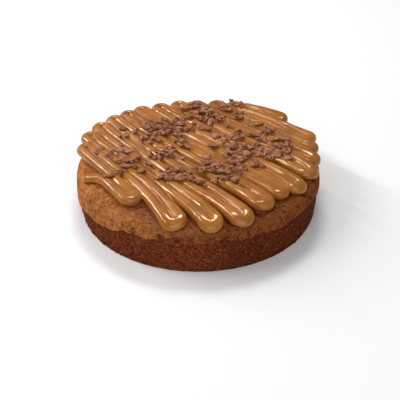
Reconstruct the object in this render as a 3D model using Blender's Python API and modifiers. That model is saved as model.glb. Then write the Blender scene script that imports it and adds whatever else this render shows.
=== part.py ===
"""A sachertorte: a round chocolate sponge, an icing rope piped to and fro over its top, and chopped chocolate.

Metres, +Z up. The origin is the middle of the sponge's flat underside. The front of the cake is -Y.
The rope is one long zigzag. Its runs go from the front right of the cake to the back left, and it
turns back at each end in a round lobe. Its start is a short tail at the front left.
"""
import math
import random

import bmesh
import bpy
from mathutils import Matrix, Vector, noise

MM = 0.001

# Sponge
BASE_RADIUS = 100.0 * MM
BULGE = 2.3 * MM
BULGE_HEIGHT = 23.0 * MM
TOP_HEIGHT = 39.5 * MM
SHOULDER = 7.5 * MM
FOOT_ROUND = 1.5 * MM
RINGS_ON_SIDE = 9
RINGS_ON_SHOULDER = 4
SEGMENTS = 104
RINGS_ON_TOP = 4
CRUST_STEP = 1.1 * MM
CRUST_STEP_HEIGHT = 3.0 * MM
CRUST_CRAGS = 0.35
CRUMB_DEPTH = 1.0 * MM
CRUMB_SIZE = 6.5 * MM
EDGE_MIDDLE = 24.0 * MM
EDGE_RISE_IN_FRONT = 6.0 * MM
EDGE_FALL_AT_LEFT = 13.0 * MM
EDGE_WAVE = 3.0 * MM
EDGE_WAVES = 4.0
SHARP_ANGLE = 50.0

# Icing rope
ROPE_WIDTH = 9.8 * MM
ROPE_LIFT = 2.9 * MM
GAP = 0.3 * MM
RUN_STEP = 9.0 * MM
TURN_STEPS = 6
FRONT_SWELL = 0.10
SWELL_START = 30.0
SWELL_LENGTH = 60.0
ROPE_TOP = 0.94
DROOP_START = 84.0
DROOP_RATE = 0.018
DROOP_MOST = 3.2
DROOP_BEHIND = 10.0
DROOP_SPAN = 50.0
WELD = 0.01 * MM

# Chopped chocolate
CHIP_SEED = 7
CORNER_SEED = 5
CHIP_SINK = 1.0 * MM
CHIP_SIZE = 1.15
CHIP_THICKNESS = (2.6, 4.0)
MOST_THICKNESS_SHARE = 0.8
CHIP_TILT = 16.0
CHIP_UNEVEN = 0.17

# Fineness of the icing's surface
VOXEL = 0.9 * MM
ICING_FACES = 11000

# Turns at the front right, in the order that the bag passes them:
# middle of the turn's arc (mm), its heading (degrees from +X) and its radius (mm)
FRONT_TURNS = [
    (-54.5, -56.0, -60, 4.6), (-19.5, -86.5, -68, 5.6), (9.5, -89.0, -68, 4.9), (33.5, -82.0, -62, 5.1),
    (50.5, -62.0, -60, 5.0), (64.5, -47.5, -58, 3.7), (78.5, -38.0, -54, 4.7), (89.5, -16.0, -54, 4.9),
    (93.0, 2.0, -45, 4.7), (93.0, 20.0, -36, 4.5), (92.5, 37.0, -38, 4.4), (70.2, 70.0, -34, 4.3),
]
# Turns at the back left
BACK_TURNS = [
    (-93.5, 17.0, 122, 4.7), (-91.5, 36.0, 122, 4.6), (-83.5, 52.5, 123, 4.6), (-72.5, 64.8, 124, 4.4),
    (-61.0, 73.8, 125, 4.2), (-49.5, 81.8, 127, 4.1), (-33.0, 87.0, 130, 4.5), (-16.5, 91.5, 132, 4.4),
    (-1.0, 92.0, 136, 4.3), (17.0, 92.3, 140, 4.2), (33.0, 91.0, 145, 4.0),
]
# Where the runs cross the cake's diagonal from front left to back right (mm from the middle)
CROSSINGS = [-73.0, -64.0, -55.0, -47.5, -39.8, -31.0, -20.8, -11.8, -1.0, 7.0, 14.5, 23.5, 33.0, 42.2, 51.5,
             59.2, 66.6, 73.2, 79.4, 85.4, 92.0, 98.6]
# The tail at the front left, from its free end, and the last run's free end at the back (mm)
TAIL = [(-90.0, -25.5), (-83.0, -26.5), (-75.0, -32.5)]
LAST_END = [(57.0, 84.0), (43.0, 91.0)]

# Pieces of chopped chocolate: x, y, length and width (mm), and the angle of the length from +X (degrees)
CHIPS = [
    (-85, 9, 7, 5.5, 80), (-75, 4, 8, 5, 80), (-71, 6, 4.5, 3.5, 70), (-60.5, 9.5, 15, 7, 5),
    (-65, -7, 11, 8, 0), (-58, -7, 8, 3.2, 85), (-55.5, -8.5, 8, 3.2, 80), (-53, -7, 8, 3.2, 75),
    (-49.5, -4, 9, 4, 60), (-57, -17.5, 13, 4, 2), (-46.5, -22, 9, 4, -25), (-63.5, -25.5, 8, 4, 20),
    (-72.5, -30.5, 10, 4, 15), (-64.5, 44, 8, 4.5, 25), (-63, 34.5, 9, 6, 30), (-54.5, 38, 5.5, 4.5, 60),
    (-48, 50, 5.5, 4.5, 80), (-46, 56, 6, 4.5, 30), (-36, 56, 10, 6.5, 10), (-45, 46, 8, 6, 0),
    (-45.5, 33.5, 9, 7, 10), (-38, 45, 6, 5, 0), (-33.5, 46, 6, 5, 60), (-36, 36, 8, 6, 20),
    (-31.5, 39, 6, 4.5, 45), (-34.5, 26, 9, 5, 75), (-42, 23, 5, 4, 0), (-28, 46, 6, 4.5, 80),
    (-24, 44, 9, 4, 50), (-28, 36, 7, 5.5, 30), (-24, 55, 7, 4.5, 20), (-29, 57, 5.5, 4.5, 0),
    (-20.5, 60, 6.5, 4.5, 30), (-15, 61, 7, 4, 80), (-17, 53, 9, 5.5, 5), (-10, 45, 7, 4.5, 15),
    (-17, 43, 7, 5.5, 40), (-17, 35, 8, 6, 10), (-13, 24, 6, 5.5, 0), (-19, 27, 5, 4, 60),
    (-9, 15.5, 9, 4, -15), (-22, 10, 10, 7, 80), (-26, 2, 6, 3.5, 85), (-22.5, 0, 6, 3.5, 80),
    (-28, 11, 7, 4.5, 10), (-40.5, 2, 9, 5.5, 80), (-32.5, 0, 12, 4.5, 85), (-13, -4, 5, 3.5, -20),
    (0, 90, 7, 5, 20), (-5, 85, 10, 6, 5), (-11, 79, 12, 4.5, 5), (5.5, 84, 7, 6, 50), (-2, 74, 9, 6, 15),
    (4, 75, 8, 5, 70), (9, 73, 6, 5, 0), (-7, 66, 7, 5, 40), (2, 62, 7, 5.5, 10), (7, 60, 6, 4.5, 60),
    (11.5, 57, 9, 5, 65), (14.5, 67, 8, 6, 60), (12.5, 76, 7, 5, 0), (18, 85, 7, 4, 80), (22, 85, 6, 5, 20),
    (24, 78, 8, 6, 0), (28, 77, 7, 4.5, 75), (32, 90, 5.5, 5, 0), (37, 89.5, 6.5, 5.5, 60),
    (31.5, 63, 8, 3.5, -10), (38, 63, 5, 4.5, 40), (51, 53, 8.5, 7, 20), (57, 42, 8, 3.5, 60),
    (60.5, 39, 9, 4.5, 75), (64.5, 41, 6, 5, 0), (23, 51, 5, 4.5, 0), (26, 50, 5.5, 3.5, 70),
    (4, 45, 11, 5.5, 5), (17, 31, 7.5, 6.5, 30), (21.5, 27, 8, 3.5, 100), (13.5, 15, 13, 4.5, 12),
    (34, 41, 7, 4.5, 60), (33, 29, 10, 7.5, 60), (27.5, 30, 9, 3.5, 55), (39, 33, 6, 4.5, 20),
    (44, 34, 6.5, 4, 0), (48, 33, 8, 5.5, -10), (53.5, 27, 8, 5.5, -60), (29, 15, 9, 7, 70),
    (42.5, 15, 7, 6, 0), (52, 13, 9, 7.5, 75), (64.5, 28, 9, 7.5, 30), (73, 26, 9.5, 7.5, 10),
    (61.5, 19, 6, 4.5, 30), (67.5, 16, 9, 7.5, 0), (75, 17, 6.5, 5, 60), (75.5, 9, 9, 7, 15),
    (66, 4, 12, 9, 70), (75, -3, 8, 7, 30), (57, 5, 8, 6, 80), (60, -4, 9, 6, 10), (24, 5, 13, 5, 65),
    (34, 6, 9, 6, 20), (42, 3, 8, 6, 30), (50, 2, 9, 5, 5), (36, -5, 14, 6, 12), (27, -6, 7, 6, 60),
    (31, -11, 7, 6, 0), (27, -14, 8, 5, 80), (35, -19, 10, 7, 15), (7.5, -1, 9, 6.5, 80),
    (8.5, -12, 8, 6, 30), (15.5, -16, 9, 7.5, 20), (10.5, -24, 9, 4.5, 5), (4, -23, 8, 4.5, -10),
    (-2, -20.5, 6, 4.5, 20), (25, -23, 9, 8, 60), (19, -26, 6, 4.5, 0), (46, -14, 9, 6.5, 10),
    (53, -17, 5, 4, 0), (-46, -24.5, 7, 5, 10), (-28.5, -29, 8, 4.5, 70), (-31.5, -34, 7, 4.5, 20),
    (-24.5, -25, 9, 4, 110), (-21.5, -29, 9, 4, 70), (-23, -36, 7, 4.5, 0), (-16, -24, 8, 6.5, 20),
    (-16.5, -35, 9, 7, 10), (-7, -35, 10, 7, -10), (2, -39, 8, 7, 60), (12.5, -37, 9, 5.5, 80),
    (17.5, -32, 8, 5, 10), (23, -34, 8, 5.5, 10), (29, -35, 7, 5, 15),
]


def colour(name, rgb, roughness):
    """A plain finish."""
    material = bpy.data.materials.new(name)
    material.use_nodes = True
    shader = material.node_tree.nodes["Principled BSDF"]
    shader.inputs["Base Color"].default_value = (*rgb, 1.0)
    shader.inputs["Roughness"].default_value = roughness
    shader.inputs["Metallic"].default_value = 0.0
    return material


def mesh_of(source, name, collection):
    """Turns an object and its modifiers into a plain mesh object with its caps welded."""
    evaluated = source.evaluated_get(bpy.context.evaluated_depsgraph_get())
    mesh = bpy.data.meshes.new_from_object(evaluated)
    work = bmesh.new()
    work.from_mesh(mesh)
    bmesh.ops.remove_doubles(work, verts=work.verts, dist=WELD)
    bmesh.ops.recalc_face_normals(work, faces=work.faces)
    work.to_mesh(mesh)
    work.free()
    piece = bpy.data.objects.new(name, mesh)
    piece.matrix_world = source.matrix_world.copy()
    collection.objects.link(piece)
    bpy.data.objects.remove(source)
    return piece


# Sponge

def side_profile(grow):
    """Points (radius, height) from the top's edge down the side to the foot, grown outwards by a margin."""
    points = []
    spring = TOP_HEIGHT - SHOULDER
    middle = side_radius(spring) - SHOULDER
    for k in range(RINGS_ON_SHOULDER + 1):
        turn = math.pi / 2 * (1 - k / RINGS_ON_SHOULDER)
        points.append((middle + (SHOULDER + grow) * math.cos(turn), spring + (SHOULDER + grow) * math.sin(turn)))
    for k in range(1, RINGS_ON_SIDE + 1):
        height = spring + (FOOT_ROUND - spring) * k / RINGS_ON_SIDE
        points.append((side_radius(height) + grow, height))
    return points


def side_radius(height):
    """The slightly barrelled side."""
    lean = (height - BULGE_HEIGHT) / BULGE_HEIGHT
    return BASE_RADIUS + BULGE * (1 - lean * lean)


def turned(name, profile, collection):
    """A solid turned about Z from a profile that runs from the axis at the top to the axis at the foot."""
    mesh = bpy.data.meshes.new(name)
    mesh.from_pydata([(r, 0.0, z) for r, z in profile], [(i, i + 1) for i in range(len(profile) - 1)], [])
    source = bpy.data.objects.new(name + "_profile", mesh)
    bpy.context.scene.collection.objects.link(source)
    screw = source.modifiers.new("Turn", "SCREW")
    screw.steps = SEGMENTS
    screw.render_steps = SEGMENTS
    screw.use_merge_vertices = True
    screw.merge_threshold = WELD
    return mesh_of(source, name, collection)


def crust_edge(angle):
    """Height at which the baked crust ends and the open crumb begins, low at the left and high in front."""
    front = 0.5 - 0.5 * math.sin(angle)
    left = max(0.0, -math.cos(angle))
    ragged = noise.noise(Vector((math.cos(angle), math.sin(angle), 1.0)) * EDGE_WAVES)
    return EDGE_MIDDLE + EDGE_RISE_IN_FRONT * front - EDGE_FALL_AT_LEFT * left ** 3 + EDGE_WAVE * ragged


def relief(point):
    """How far the surface lies inside the turned form: crags, and the step below the crust."""
    in_middle = math.hypot(point.x, point.y) < BASE_RADIUS / 2
    if point.z < WELD or in_middle:
        return 0.0
    edge = crust_edge(math.atan2(point.y, point.x))
    crumb = 0.5 + 0.5 * noise.noise(point / CRUMB_SIZE)
    below = min(1.0, max(0.0, (edge - point.z) / CRUST_STEP_HEIGHT))
    return CRUST_STEP * below + CRUMB_DEPTH * crumb * (CRUST_CRAGS + (1 - CRUST_CRAGS) * below)


def build_sponge(collection):
    """The baked sponge, with a crust at the top of its side and open crumb below."""
    rim = side_profile(0.0)
    rings = [(rim[0][0] * k / RINGS_ON_TOP, TOP_HEIGHT) for k in range(RINGS_ON_TOP)]
    foot = [(rim[-1][0] - FOOT_ROUND, 0.0), (0.0, 0.0)]
    sponge = turned("sponge", rings + rim + foot, collection)
    for vertex in sponge.data.vertices:
        on_top = vertex.co.z > TOP_HEIGHT - WELD
        outwards = Vector((0, 0, 1)) if on_top else Vector((vertex.co.x, vertex.co.y, 0.0)).normalized()
        vertex.co -= outwards * relief(vertex.co)
    sponge.data.shade_smooth()
    sponge.data.set_sharp_from_angle(angle=math.radians(SHARP_ANGLE))
    sponge.data.materials.append(colour("chocolate_crumb", (0.13, 0.045, 0.02), 0.9))
    return sponge


def build_cutter(collection):
    """The sponge's turned form with the gap added, which shapes the underside of the icing."""
    rim = side_profile(GAP)
    profile = [(0.0, TOP_HEIGHT + GAP)] + rim + [(0.0, rim[-1][1])]
    cutter = turned("sponge_cutter", profile, collection)
    cutter.hide_render = True
    cutter.display_type = "WIRE"
    return cutter


# Icing rope

def heading_of(degrees):
    return Vector((math.cos(math.radians(degrees)), math.sin(math.radians(degrees))))


def half_turn(turn, side):
    """Half of a turn's arc in mm: from the leg on that side of the heading (+1 is left) round to the tip."""
    x, y, degrees, radius = turn
    ahead = heading_of(degrees)
    left = Vector((-ahead.y, ahead.x))
    points = []
    for k in range(TURN_STEPS + 1):
        angle = math.pi / 2 * k / TURN_STEPS
        points.append(Vector((x, y)) + left * side * radius * math.cos(angle) + ahead * radius * math.sin(angle))
    return points


def blend(start, start_pull, end, end_pull, s):
    """A cubic curve between two points with given tangents."""
    return (start * (2 * s ** 3 - 3 * s ** 2 + 1) + start_pull * (s ** 3 - 2 * s ** 2 + s)
            + end * (-2 * s ** 3 + 3 * s ** 2) + end_pull * (s ** 3 - s ** 2))


def leg(start, start_ahead, via, end, end_ahead):
    """Points in mm between two turns, through one point on the way, without the two ends."""
    points = []
    along = (end - start).normalized()
    for a, pull_a, b, pull_b in ((start, start_ahead, via, along), (via, along, end, end_ahead)):
        span = (b - a).length
        steps = max(2, round(span * MM / RUN_STEP))
        points += [blend(a, pull_a * span, b, pull_b * span, k / steps) for k in range(steps)]
    return points[1:]


def run_between(first, first_side, last, last_side, crossing):
    """One run of the rope, from the tip of one turn to the tip of the next."""
    start = half_turn(first, first_side)[::-1]
    end = half_turn(last, last_side)
    diagonal = Vector((1.0, 1.0)).normalized() * crossing
    middle = leg(start[-1], -heading_of(first[2]), diagonal, end[0], heading_of(last[2]))
    return start + middle + end


def routes():
    """The centre lines of all runs, in mm."""
    first, last = half_turn(FRONT_TURNS[0], -1), half_turn(FRONT_TURNS[-1], +1)[::-1]
    lines = [[Vector(p) for p in TAIL] + first]
    for k in range(len(BACK_TURNS)):
        front, back, after = FRONT_TURNS[k], BACK_TURNS[k], FRONT_TURNS[k + 1]
        lines.append(run_between(front, +1, back, +1, CROSSINGS[2 * k]))
        lines.append(run_between(back, -1, after, -1, CROSSINGS[2 * k + 1]))
    lines.append(last + [Vector(p) for p in LAST_END])
    return lines


def rope_height(x, y):
    """Height of the rope's middle: level on the top, and sinking where it goes over the front shoulder."""
    over = max(0.0, math.hypot(x, y) - DROOP_START)
    in_front = min(1.0, max(0.0, (DROOP_BEHIND - y) / DROOP_SPAN))
    return TOP_HEIGHT + ROPE_LIFT - min(DROOP_MOST, DROOP_RATE * over * over) * in_front * MM


def rope_swell(x, y):
    """The rope is a little fatter in the front lobes."""
    front = max(0.0, -y - SWELL_START) / SWELL_LENGTH
    return 1.0 + FRONT_SWELL * min(1.0, front)


def rope_section():
    """The rope's outline, round on top and flatter below, as a closed curve that the runs are swept with."""
    half = ROPE_WIDTH / 2
    right = [(0.45, -0.86), (0.90, -0.52), (1.0, 0.0), (0.84, 0.44), (0.48, 0.78)]
    outline = [(0.0, ROPE_TOP)] + [(-x, z) for x, z in right[::-1]] + right
    section = bpy.data.curves.new("rope_section", "CURVE")
    section.dimensions = "2D"
    spline = section.splines.new("POLY")
    spline.points.add(len(outline) - 1)
    for point, (x, z) in zip(spline.points, outline):
        point.co = (x * half, z * half, 0.0, 1.0)
    spline.use_cyclic_u = True
    holder = bpy.data.objects.new("rope_section", section)
    bpy.context.scene.collection.objects.link(holder)
    return holder


def sweep(name, line, section, collection):
    """One run of the rope as a solid."""
    curve = bpy.data.curves.new(name, "CURVE")
    curve.dimensions = "3D"
    curve.twist_mode = "Z_UP"
    curve.bevel_mode = "OBJECT"
    curve.bevel_object = section
    curve.use_fill_caps = True
    spline = curve.splines.new("POLY")
    spline.points.add(len(line) - 1)
    for point, (x, y) in zip(spline.points, line):
        point.co = (x * MM, y * MM, rope_height(x, y), 1.0)
        point.radius = rope_swell(x, y)
    source = bpy.data.objects.new(name + "_path", curve)
    bpy.context.scene.collection.objects.link(source)
    return mesh_of(source, name, collection)


# Chopped chocolate

def chip(name, place, size, turn, draw, collection):
    """A chopped piece: a block with uneven corners."""
    work = bmesh.new()
    bmesh.ops.create_cube(work, size=1.0)
    for vertex in work.verts:
        vertex.co += Vector([draw.uniform(-CHIP_UNEVEN, CHIP_UNEVEN) for _ in range(3)])
    shape = Matrix.LocRotScale(place, turn, size)
    bmesh.ops.transform(work, matrix=shape, verts=work.verts)
    mesh = bpy.data.meshes.new(name)
    work.to_mesh(mesh)
    work.free()
    collection.objects.link(bpy.data.objects.new(name, mesh))


def build_chips(collection):
    """The chopped chocolate, each piece where it fell."""
    draw, corners = random.Random(CHIP_SEED), random.Random(CORNER_SEED)
    for number, (x, y, length, width, yaw) in enumerate(CHIPS):
        thickness = min(draw.uniform(*CHIP_THICKNESS), MOST_THICKNESS_SHARE * width)
        tilt = Matrix.Rotation(math.radians(draw.uniform(-CHIP_TILT, CHIP_TILT)), 3, "X")
        turn = Matrix.Rotation(math.radians(yaw), 3, "Z") @ tilt
        size = Vector((length * CHIP_SIZE, width * CHIP_SIZE, thickness)) * MM
        crest = rope_height(x, y) + ROPE_TOP * ROPE_WIDTH / 2
        place = Vector((x * MM, y * MM, crest - CHIP_SINK + size.z / 2))
        chip("chip_%03d" % number, place, size, turn.to_quaternion(), corners, collection)


def apply_modifier(target, modifier):
    """Bakes one modifier into its object's mesh."""
    with bpy.context.temp_override(object=target, active_object=target):
        bpy.ops.object.modifier_apply(modifier=modifier.name)
    target.data.calc_loop_triangles()


def keep_largest(mesh):
    """Drops the loose scraps that a cut leaves, and fills sealed hollows."""
    work = bmesh.new()
    work.from_mesh(mesh)
    left = set(work.verts)
    bodies = []
    while left:
        body, edge = set(), [left.pop()]
        while edge:
            vertex = edge.pop()
            body.add(vertex)
            near = {e.other_vert(vertex) for e in vertex.link_edges} & left
            left -= near
            edge += near
        bodies.append(body)
    largest = max(bodies, key=len)
    bmesh.ops.delete(work, geom=[v for v in work.verts if v not in largest], context="VERTS")
    bmesh.ops.triangulate(work, faces=work.faces)
    work.to_mesh(mesh)
    work.free()


def build_icing(collection, cutters):
    """All the runs and the chopped chocolate, joined into one solid that lies on the sponge."""
    pieces = bpy.data.collections.new("icing_pieces")
    bpy.context.scene.collection.children.link(pieces)
    section = rope_section()
    for number, line in enumerate(routes()):
        holder = collection if number == 0 else pieces
        name = "piped_icing" if number == 0 else "run_%02d" % number
        sweep(name, line, section, holder)
    bpy.data.objects.remove(section)
    build_chips(pieces)
    icing = collection.objects["piped_icing"]
    join = icing.modifiers.new("Join", "BOOLEAN")
    join.operation = "UNION"
    join.operand_type = "COLLECTION"
    join.collection = pieces
    join.solver = "MANIFOLD"
    apply_modifier(icing, join)
    for piece in list(pieces.objects):
        bpy.data.objects.remove(piece)
    bpy.data.collections.remove(pieces)
    even = icing.modifiers.new("Even", "REMESH")
    even.mode = "VOXEL"
    even.voxel_size = VOXEL
    apply_modifier(icing, even)
    thin = icing.modifiers.new("Thin", "DECIMATE")
    thin.ratio = ICING_FACES / len(icing.data.loop_triangles)
    apply_modifier(icing, thin)
    cutter = build_cutter(cutters)
    seat = icing.modifiers.new("Seat", "BOOLEAN")
    seat.operation = "DIFFERENCE"
    seat.object = cutter
    seat.solver = "MANIFOLD"
    apply_modifier(icing, seat)
    keep_largest(icing.data)
    icing.data.shade_smooth()
    icing.data.set_sharp_from_angle(angle=math.radians(SHARP_ANGLE))
    icing.data.materials.append(colour("caramel_icing", (0.40, 0.17, 0.06), 0.3))
    return icing


def main():
    for old in list(bpy.data.objects):
        bpy.data.objects.remove(old)
    cake = bpy.data.collections.new("sachertorte")
    cutters = bpy.data.collections.new("cutters")
    for collection in (cake, cutters):
        bpy.context.scene.collection.children.link(collection)
    build_sponge(cake)
    build_icing(cake, cutters)


main()
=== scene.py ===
"""Looks of a sachertorte: crumbly baked sponge, a glossy piped icing rope, and chopped chocolate.

Metres, +Z up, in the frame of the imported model. The front of the cake is -Y. Sizes that end in a comment
"mm" are in millimetres, like the route of the rope, and are turned into metres where a mesh is made.
"""
from __future__ import annotations

import logging
import math
import random
from dataclasses import dataclass, field
from enum import Enum
from itertools import product
from typing import Any, Iterable, Optional, Sequence, Union

import bmesh
import bpy
import numpy as np
from mathutils import Matrix, Vector, noise
from mathutils.kdtree import KDTree

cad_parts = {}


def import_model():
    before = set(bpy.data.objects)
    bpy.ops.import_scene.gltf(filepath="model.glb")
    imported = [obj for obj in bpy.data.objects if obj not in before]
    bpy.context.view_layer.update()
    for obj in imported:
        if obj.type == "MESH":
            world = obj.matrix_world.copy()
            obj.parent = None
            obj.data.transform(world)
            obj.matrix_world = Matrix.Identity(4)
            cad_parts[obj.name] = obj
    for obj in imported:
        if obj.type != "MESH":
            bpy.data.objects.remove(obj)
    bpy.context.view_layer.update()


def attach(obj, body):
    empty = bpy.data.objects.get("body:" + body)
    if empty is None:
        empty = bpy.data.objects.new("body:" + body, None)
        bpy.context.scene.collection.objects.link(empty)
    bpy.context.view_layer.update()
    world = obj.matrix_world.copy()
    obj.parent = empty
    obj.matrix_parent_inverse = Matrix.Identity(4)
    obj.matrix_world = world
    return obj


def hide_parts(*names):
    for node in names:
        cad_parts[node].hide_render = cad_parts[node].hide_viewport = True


MM = 0.001
FAR = 1000.0  # mm, beyond all that counts
BODY = "root"

log = logging.getLogger("sachertorte")


# Shader tools

Colour = tuple[float, float, float]


def screen_colour(red: int, green: int, blue: int) -> Colour:
    """Turns a colour as a screen shows it into the linear one that a shader needs.

    Args:
        red, green, blue: 0 to 255.

    Returns:
        The linear colour.
    """
    shares = [channel / 255 for channel in (red, green, blue)]
    return tuple(s / 12.92 if s <= 0.04045 else ((s + 0.055) / 1.055) ** 2.4 for s in shares)


class Value:
    """A number that varies over a surface. Expressions on it add Math nodes."""

    def __init__(self, graph: "Graph", socket: bpy.types.NodeSocket) -> None:
        """Wraps one output socket of a graph."""
        self.graph = graph
        self.socket = socket

    def _math(self, operation: str, *terms: "Number") -> "Value":
        """Adds one Math node.

        Args:
            operation: Blender's name of the operation.
            terms: Its operands.

        Returns:
            The node's result.
        """
        node = self.graph.node("ShaderNodeMath", {"operation": operation}, dict(enumerate(terms)))
        return Value(self.graph, node.outputs[0])

    def __add__(self, other: "Number") -> "Value":
        """This plus another."""
        return self._math("ADD", self, other)

    def __radd__(self, other: "Number") -> "Value":
        """A plain number plus this."""
        return self._math("ADD", other, self)

    def __sub__(self, other: "Number") -> "Value":
        """This less another."""
        return self._math("SUBTRACT", self, other)

    def __rsub__(self, other: "Number") -> "Value":
        """A plain number less this."""
        return self._math("SUBTRACT", other, self)

    def __mul__(self, other: "Number") -> "Value":
        """This times another."""
        return self._math("MULTIPLY", self, other)

    def __rmul__(self, other: "Number") -> "Value":
        """A plain number times this."""
        return self._math("MULTIPLY", other, self)

    def between(self, low: float, high: float) -> "Value":
        """Rises smoothly from 0 at low to 1 at high.

        Args:
            low: Where the result leaves 0.
            high: Where it reaches 1. It may be less than low, and then the result falls.

        Returns:
            The smooth step.
        """
        settings = {"interpolation_type": "SMOOTHSTEP"}
        inputs = {"Value": self, "From Min": low, "From Max": high}
        return Value(self.graph, self.graph.node("ShaderNodeMapRange", settings, inputs).outputs["Result"])


Number = Union[float, Value]


class Graph:
    """The nodes of one material."""

    def __init__(self, name: str) -> None:
        """Starts a material that holds one Principled shader.

        Args:
            name: The material's name.
        """
        self.material = bpy.data.materials.new(name)
        self.material.use_nodes = True
        self.tree = self.material.node_tree
        self.shader = self.tree.nodes["Principled BSDF"]

    def node(self, kind: str, settings: Optional[dict[str, Any]] = None,
             inputs: Optional[dict[Union[int, str], Any]] = None) -> bpy.types.Node:
        """Adds one node.

        Args:
            kind: Blender's name of the node's type.
            settings: Its properties, set before its sockets.
            inputs: A value or a link for each socket, by name or number.

        Returns:
            The node.
        """
        node = self.tree.nodes.new(kind)
        for name, value in (settings or {}).items():
            setattr(node, name, value)
        for key, value in (inputs or {}).items():
            self.feed(node.inputs[key], value)
        return node

    def feed(self, socket: bpy.types.NodeSocket, value: Any) -> None:
        """Links a socket, or sets it where the value is plain."""
        if isinstance(value, Value):
            value = value.socket
        if isinstance(value, bpy.types.NodeSocket):
            self.tree.links.new(value, socket)
        elif isinstance(value, tuple) and socket.type == "RGBA":
            socket.default_value = (*value, 1.0)
        else:
            socket.default_value = value

    def places(self) -> bpy.types.NodeSocket:
        """The surface point in the object's own metres."""
        return self.node("ShaderNodeTexCoord").outputs["Object"]

    def stored(self, name: str) -> bpy.types.Node:
        """A value that the mesh carries on its points."""
        return self.node("ShaderNodeAttribute", {"attribute_name": name})

    def stored_value(self, name: str) -> Value:
        """A stored value as a number."""
        return Value(self, self.stored(name).outputs["Fac"])

    def grain(self, size: float, detail: float = 2.0, rough: float = 0.5,
              places: Optional[bpy.types.NodeSocket] = None) -> Value:
        """Soft irregular noise from 0 to 1.

        Args:
            size: Size of its largest lumps, in the units of the places.
            detail: Number of finer layers.
            rough: How strong the finer layers are.
            places: Where it is looked up, or None for the object's metres.

        Returns:
            The noise.
        """
        at = places or self.places()
        inputs = {"Vector": at, "Scale": 1 / size, "Detail": detail, "Roughness": rough}
        return Value(self, self.node("ShaderNodeTexNoise", {"noise_dimensions": "3D"}, inputs).outputs[0])

    def stretched(self, places: bpy.types.NodeSocket, scale: Colour) -> bpy.types.NodeSocket:
        """Scales places apart along the three axes.

        Args:
            places: A vector socket.
            scale: Factors along X, Y and Z.

        Returns:
            The scaled vector.
        """
        node = self.node("ShaderNodeVectorMath", {"operation": "MULTIPLY"}, {0: places, 1: scale})
        return node.outputs[0]

    def mixed(self, share: Number, first: Any, second: Any) -> bpy.types.NodeSocket:
        """Mixes two colours.

        Args:
            share: 0 for the first colour, 1 for the second.
            first: A colour or a colour socket.
            second: A colour or a colour socket.

        Returns:
            The mixed colour.
        """
        node = self.node("ShaderNodeMix", {"data_type": "RGBA"}, {0: share, 6: first, 7: second})
        return node.outputs[2]

    def bump(self, height: Value, metres: float) -> bpy.types.NodeSocket:
        """Fine relief.

        Args:
            height: 0 to 1.
            metres: The height that 1 stands for.

        Returns:
            The bumped normal.
        """
        inputs = {"Height": height, "Distance": metres, "Strength": 1.0}
        return self.node("ShaderNodeBump", None, inputs).outputs["Normal"]

    def finish(self, sockets: dict[str, Any]) -> bpy.types.Material:
        """Sets or links the shader's sockets.

        Args:
            sockets: Values or links by the socket's name.

        Returns:
            The finished material.
        """
        for name, value in sockets.items():
            self.feed(self.shader.inputs[name], value)
        return self.material


# Finishes

@dataclass(frozen=True)
class Tint:
    """A colour laid over others where a pattern passes from one value to another."""

    colour: Colour
    none_at: float
    full_at: float
    most: float = 1.0

    def over(self, pattern: Value, below: Any, most: Optional[Number] = None) -> bpy.types.NodeSocket:
        """Lays the tint over a colour.

        Args:
            pattern: The pattern, 0 to 1.
            below: A colour or a colour socket.
            most: The tint's greatest share, or None for its own.

        Returns:
            The tinted colour.
        """
        share = pattern.between(self.none_at, self.full_at) * (self.most if most is None else most)
        return pattern.graph.mixed(share, below, self.colour)


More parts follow.
